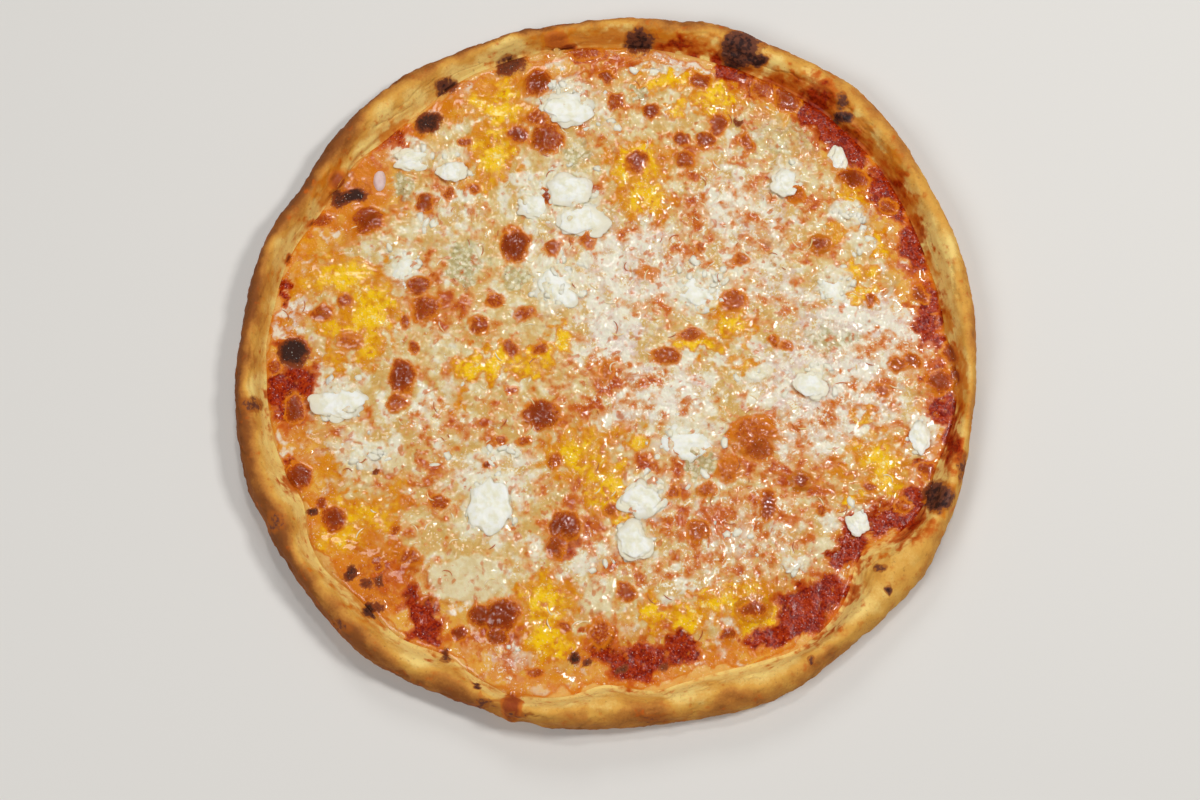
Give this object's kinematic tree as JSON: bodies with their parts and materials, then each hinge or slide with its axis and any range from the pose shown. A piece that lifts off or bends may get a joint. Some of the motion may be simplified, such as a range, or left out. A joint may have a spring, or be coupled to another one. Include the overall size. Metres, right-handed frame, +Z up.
{
  "type": "four cheese pizza",
  "caption": "Whole round pizza with a puffed bread rim, red sauce and melted, browned cheese with white lumps, yellow pools and blue crumbs.",
  "frame": {"origin": "under the middle of the pizza, on the surface it lies on", "axes": "+Z up, out of the topping; +Y towards the back of the pizza as it is seen in the picture, +X to its right"},
  "size_m": [0.3228, 0.3238, 0.0201],
  "materials": {
    "bread": "baked bread crust, matt, floury, browned in patches",
    "sauce": "wet dark red sauce with a film of oil",
    "melted_cheese": "melted cheese over red sauce, oily, browned in bubbles",
    "white_cheese": "fresh white cheese, softly melted, moist",
    "yellow_cheese": "molten yellow cheese, oily and glossy",
    "mozzarella": "smooth melted mozzarella, glossy",
    "blue_cheese": "crumbled blue cheese, cream with grey-green veins"
  },
  "bodies": {
    "root": {"crust": "bread", "sauce": "sauce", "cheese": "melted_cheese", "white_cheese_01": "white_cheese", "white_cheese_02": "white_cheese", "white_cheese_03": "white_cheese", "white_cheese_04": "white_cheese", "white_cheese_05": "white_cheese", "white_cheese_06": "white_cheese", "white_cheese_07": "white_cheese", "white_cheese_08": "white_cheese", "white_cheese_09": "white_cheese", "white_cheese_10": "white_cheese", "white_cheese_11": "white_cheese", "white_cheese_12": "white_cheese", "white_cheese_13": "white_cheese", "white_cheese_14": "white_cheese", "white_cheese_15": "white_cheese", "white_cheese_16": "white_cheese", "white_cheese_17": "white_cheese", "white_cheese_18": "white_cheese", "white_cheese_19": "white_cheese", "white_cheese_20": "white_cheese", "white_cheese_21": "white_cheese", "blue_cheese_01": "blue_cheese", "blue_cheese_02": "blue_cheese", "blue_cheese_03": "blue_cheese", "blue_cheese_04": "blue_cheese", "blue_cheese_05": "blue_cheese", "blue_cheese_06": "blue_cheese", "mozzarella_01": "mozzarella", "mozzarella_02": "mozzarella", "mozzarella_03": "mozzarella", "yellow_cheese_01": "yellow_cheese", "yellow_cheese_02": "yellow_cheese", "yellow_cheese_03": "yellow_cheese", "yellow_cheese_04": "yellow_cheese", "yellow_cheese_05": "yellow_cheese", "yellow_cheese_06": "yellow_cheese", "yellow_cheese_07": "yellow_cheese", "yellow_cheese_08": "yellow_cheese", "yellow_cheese_09": "yellow_cheese", "yellow_cheese_10": "yellow_cheese", "yellow_cheese_11": "yellow_cheese", "yellow_cheese_12": "yellow_cheese", "yellow_cheese_13": "yellow_cheese", "yellow_cheese_14": "yellow_cheese", "yellow_cheese_15": "yellow_cheese", "yellow_cheese_16": "yellow_cheese"}
  },
  "joints": []
}
